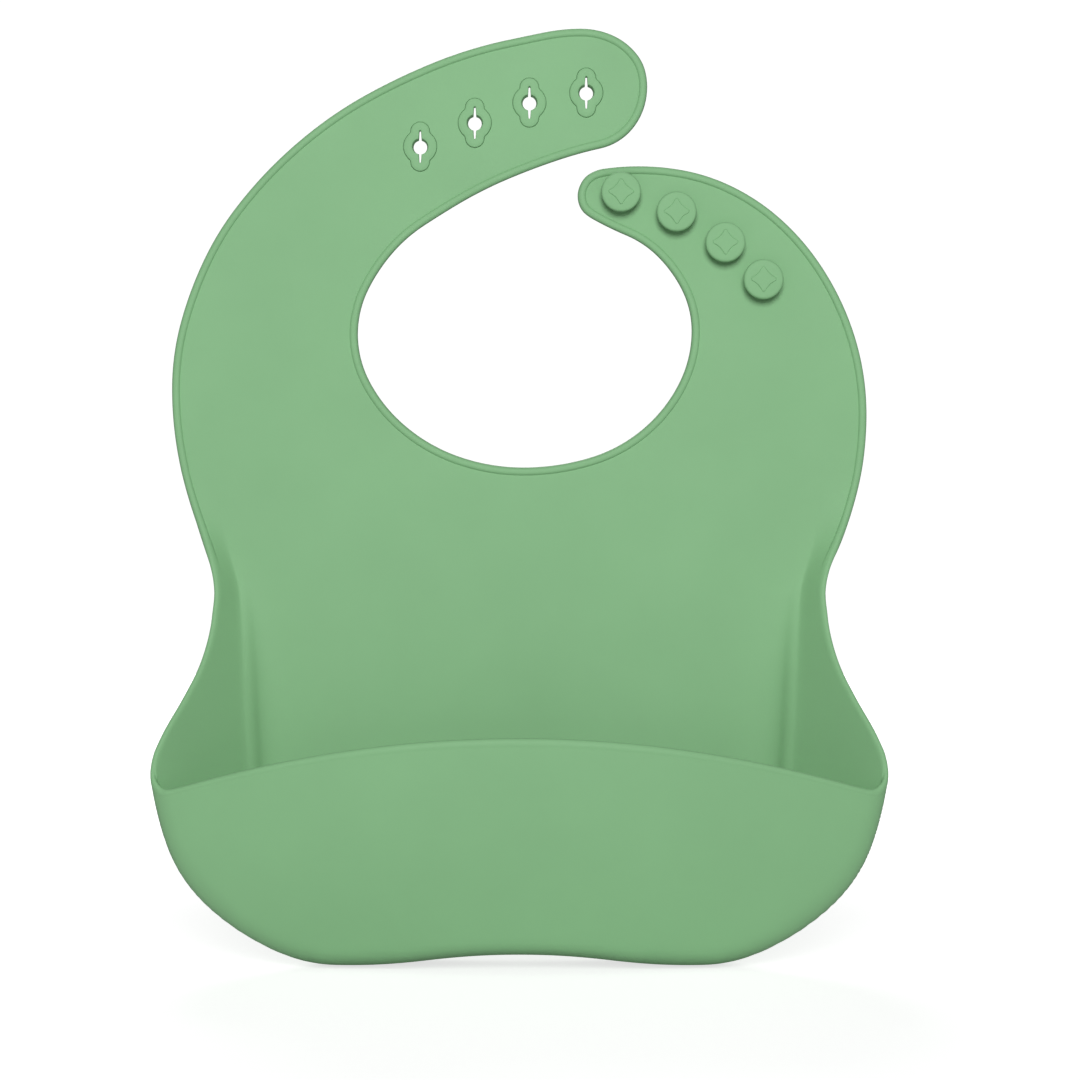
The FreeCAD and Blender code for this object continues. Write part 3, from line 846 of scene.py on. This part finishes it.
def make_object(name, mesh):
    """An object of the scene with this mesh."""
    piece = bpy.data.objects.new(name, mesh)
    bpy.context.scene.collection.objects.link(piece)
    return piece


def fix_outside(mesh):
    """Turns every face outwards and shades it smooth."""
    work = bmesh.new()
    work.from_mesh(mesh)
    bmesh.ops.remove_doubles(work, verts=work.verts, dist=WELD)
    bmesh.ops.recalc_face_normals(work, faces=work.faces)
    for face in work.faces:
        face.smooth = True
    work.to_mesh(mesh)
    work.free()


def mark_sharp(mesh, degrees):
    """Shades an edge sharp where the surface turns by more than this many degrees."""
    work = bmesh.new()
    work.from_mesh(mesh)
    for edge in work.edges:
        if len(edge.link_faces) == 2 and edge.calc_face_angle() > math.radians(degrees):
            edge.smooth = False
    work.to_mesh(mesh)
    work.free()


def cut_piece(name, mesh, cuts, keep):
    """The part of mesh on the far side of each cut that keep accepts, closed where it was cut."""
    work = bmesh.new()
    work.from_mesh(mesh)
    for point, normal in cuts:
        geometry = list(work.verts) + list(work.edges) + list(work.faces)
        bmesh.ops.bisect_plane(work, geom=geometry, dist=WELD, plane_co=point, plane_no=normal,
                               clear_inner=True)
    unwanted = [vert for vert in work.verts if not keep(vert.co)]
    bmesh.ops.delete(work, geom=unwanted, context="VERTS")
    open_edges = [edge for edge in work.edges if edge.is_boundary]
    filled = bmesh.ops.holes_fill(work, edges=open_edges, sides=0)["faces"]
    for face in filled:
        face.smooth = False
    for edge in open_edges:
        edge.smooth = False
    bmesh.ops.triangulate(work, faces=filled)
    piece_mesh = bpy.data.meshes.new(name)
    work.to_mesh(piece_mesh)
    work.free()
    return make_object(name, piece_mesh)


# ---------------------------------------------------------------- materials

def set_inputs(tree, node, inputs):
    """Sets each input of a shader node to a value, or links it from another node's output."""
    for name, value in inputs.items():
        if isinstance(value, bpy.types.NodeSocket):
            tree.links.new(value, node.inputs[name])
        else:
            node.inputs[name].default_value = value


def add_node(tree, kind, output, inputs, **settings):
    """The named output of a new shader node with these inputs and settings."""
    node = tree.nodes.new(f"ShaderNode{kind}")
    for name, value in settings.items():
        setattr(node, name, value)
    set_inputs(tree, node, inputs)
    return node.outputs[output]


def new_material(name):
    """A material, and its tree and shader."""
    material = bpy.data.materials.new(name)
    material.use_nodes = True
    return material, material.node_tree, material.node_tree.nodes["Principled BSDF"]


def make_silicone(name, tint):
    """Matte moulded silicone: an even colour with a faint cloudiness, fine grain and a little dust."""
    material, tree, shader = new_material(name)
    place = add_node(tree, "TexCoord", "Object", {})

    def noise(scale, detail, roughness):
        return add_node(tree, "TexNoise", "Fac", {
            "Vector": place, "Scale": scale, "Detail": detail, "Roughness": roughness})

    def multiply(value, factor):
        return add_node(tree, "Math", "Value", {0: value, 1: factor}, operation="MULTIPLY")

    shade = add_node(tree, "ValToRGB", "Color", {"Fac": noise(*CLOUD_NOISE)})
    for element, (position, factor) in zip(shade.node.color_ramp.elements, CLOUD_STOPS):
        element.position = position
        element.color = (*(min(1, part * factor) for part in tint), 1)
    speck = {"Vector": place, "Scale": DUST_SCALE}
    distance = add_node(tree, "TexVoronoi", "Distance", speck)
    dot = add_node(tree, "MapRange", "Result", {
        "Value": distance, "From Min": DUST_EDGE, "From Max": DUST_CORE})
    chance = distance.node.outputs["Color"]
    chosen = add_node(tree, "Math", "Value", {0: chance, 1: DUST_RARITY}, operation="GREATER_THAN")
    amount = multiply(multiply(dot, chosen), DUST_AMOUNT)
    mix = add_node(tree, "Mix", "Result", {"Factor": amount, "A": shade, "B": DUST}, data_type="RGBA")
    rough = add_node(tree, "MapRange", "Result", {
        "Value": noise(*POLISH_NOISE), "To Min": SMOOTHEST, "To Max": ROUGHEST})
    fine = add_node(tree, "Bump", "Normal", {
        "Height": noise(*GRAIN_NOISE), "Strength": GRAIN_BUMP[0], "Distance": GRAIN_BUMP[1]})
    broad = add_node(tree, "Bump", "Normal", {
        "Height": noise(*WAVE_NOISE), "Strength": WAVE_BUMP[0], "Distance": WAVE_BUMP[1], "Normal": fine})
    set_inputs(tree, shader, {"Base Color": mix, "Roughness": rough, "Normal": broad, **SHINE})
    return material


def make_floor_material():
    """A pale floor that glows a little to the camera, so that it meets the white room unseen."""
    material, tree, shader = new_material("white_floor")
    place = add_node(tree, "TexCoord", "Object", {})
    distance = add_node(tree, "VectorMath", "Value", {0: place}, operation="LENGTH")
    glow = add_node(tree, "MapRange", "Result", {
        "Value": distance, "From Min": GLOW_START, "From Max": GLOW_END,
        "To Min": NEAR_GLOW, "To Max": FAR_GLOW})
    camera_ray = add_node(tree, "LightPath", "Is Camera Ray", {})
    level = add_node(tree, "Math", "Value", {0: camera_ray, 1: glow}, operation="MULTIPLY")
    set_inputs(tree, shader, {
        "Base Color": FLOOR_BASE, "Roughness": FLOOR_ROUGHNESS, "Specular IOR Level": FLOOR_SHINE,
        "Emission Color": WHITE, "Emission Strength": level})
    return material


# ---------------------------------------------------------------- the object

def joint_place(name):
    """A joint's place and axis, from the frame."""
    joint = [item for item in frame["joints"] if item["name"] == name][0]
    return Vector(joint["pos_m"]), Vector(joint["axis"])


def in_button_strap(place):
    """True above the seam on the short strap, which stays to the right of and below the long one."""
    return place.x > SHORT_STRAP_PLACE * TO_METRES and place.z < SHORT_STRAP_TOP * TO_METRES


def make_fastener(mesh, material, sharp):
    """The object of a pad or a button."""
    fix_outside(mesh)
    mark_sharp(mesh, sharp)
    mesh.materials.append(material)
    return make_object(mesh.name, mesh)


def build_bib():
    """The moulding cut into its pieces, and the pads and buttons, which are attached to the bodies that
    carry them.
    """
    moulding = make_moulding()
    fix_outside(moulding)
    mark_sharp(moulding, MOULDING_SHARP)
    silicone = make_silicone("sage_silicone", SAGE)
    seam = Vector((0, 0, SEAM_HEIGHT * TO_METRES))
    up = Vector((0, 0, 1))
    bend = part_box("button_strap_bend")
    pivot, axis = joint_place("buttonhole_strap_curl")
    run = axis.cross(Vector((0, -1, 0))).normalized()
    half = (bend[1][2] - bend[0][2]) / 2
    divide = pivot - run * (half + SEAM_DROP * TO_METRES)

    body = cut_piece("bib_body", moulding, [(seam, -up)], lambda place: True)
    button_strap = cut_piece("button_strap_skin", moulding, [(seam, up)], in_button_strap)
    hole_base = cut_piece("buttonhole_strap_base_skin", moulding, [(seam, up), (divide, -run)],
                          lambda place: not in_button_strap(place))
    hole_tip = cut_piece("buttonhole_strap_tip_skin", moulding, [(seam, up), (divide, run)],
                         lambda place: not in_button_strap(place))

    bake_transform(body)
    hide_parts("chest_panel", "pocket_floor", "pocket_side_left", "pocket_side_right",
                "pocket_front_wall", "pocket_rim")
    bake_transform(button_strap)
    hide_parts("button_strap_bend", "button_strap")
    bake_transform(hole_base)
    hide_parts("buttonhole_strap_bend", "buttonhole_strap_base")
    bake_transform(hole_tip)
    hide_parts("buttonhole_strap_curl", "buttonhole_strap_tip")
    for piece in (body, button_strap, hole_base, hole_tip):
        piece.data.materials.append(silicone)

    for number, place in enumerate(BUTTONHOLE_PLACES, start=1):
        mesh = make_pad_mesh(f"buttonhole_pad_{number}_skin", place)
        pad = make_fastener(mesh, silicone, PAD_SHARP)
        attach(pad, "buttonhole_tip")
        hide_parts(f"buttonhole_pad_{number}")
    for number, place in enumerate(BUTTON_PLACES, start=1):
        mesh = make_button_mesh(f"button_{number}_skin", place)
        button = make_fastener(mesh, silicone, BUTTON_SHARP)
        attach(button, "button_strap")
        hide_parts(f"button_{number}")


# ---------------------------------------------------------------- stage, light and camera

def make_stage():
    """The floor, which isn't part of the object."""
    mesh = bpy.data.meshes.new("floor")
    corners = [(x * FLOOR_HALF, y * FLOOR_HALF, 0) for x, y in ((-1, -1), (1, -1), (1, 1), (-1, 1))]
    mesh.from_pydata(corners, [], [(0, 1, 2, 3)])
    mesh.materials.append(make_floor_material())
    floor = make_object("floor", mesh)


def add_area(name, place, aim, size, power):
    """A round area light at a place, turned to its aim."""
    light = bpy.data.lights.new(name, "AREA")
    light.shape = "DISK"
    light.size = size
    light.energy = power
    lamp = bpy.data.objects.new(name, light)
    lamp.location = place
    lamp.rotation_euler = (Vector(aim) - Vector(place)).to_track_quat("-Z", "Y").to_euler()
    bpy.context.scene.collection.objects.link(lamp)


def make_light():
    """A room that is white to the camera and gives off only a little light, and the area lights."""
    world = bpy.data.worlds.new("white_room")
    world.use_nodes = True
    tree = world.node_tree
    camera_ray = add_node(tree, "LightPath", "Is Camera Ray", {})
    level = add_node(tree, "MapRange", "Result", {
        "Value": camera_ray, "To Min": AMBIENT, "To Max": ROOM_GLOW})
    set_inputs(tree, tree.nodes["Background"], {"Color": WHITE, "Strength": level})
    bpy.context.scene.world = world
    for light in LIGHTS:
        add_area(*light)


def make_camera():
    """A level camera in front of the panel."""
    data = bpy.data.cameras.new("camera")
    data.lens = VIEW_LENS
    data.sensor_width = SENSOR_WIDTH
    camera = bpy.data.objects.new("camera", data)
    camera.location = (VIEW_SIDE, (BACK - SHEET) * TO_METRES - VIEW_DISTANCE, VIEW_HEIGHT)
    camera.rotation_euler = (math.pi / 2, 0, 0)
    bpy.context.scene.collection.objects.link(camera)
    bpy.context.scene.camera = camera


bpy.context.scene.view_settings.view_transform = "Standard"
build_bib()
make_stage()
make_light()
make_camera()
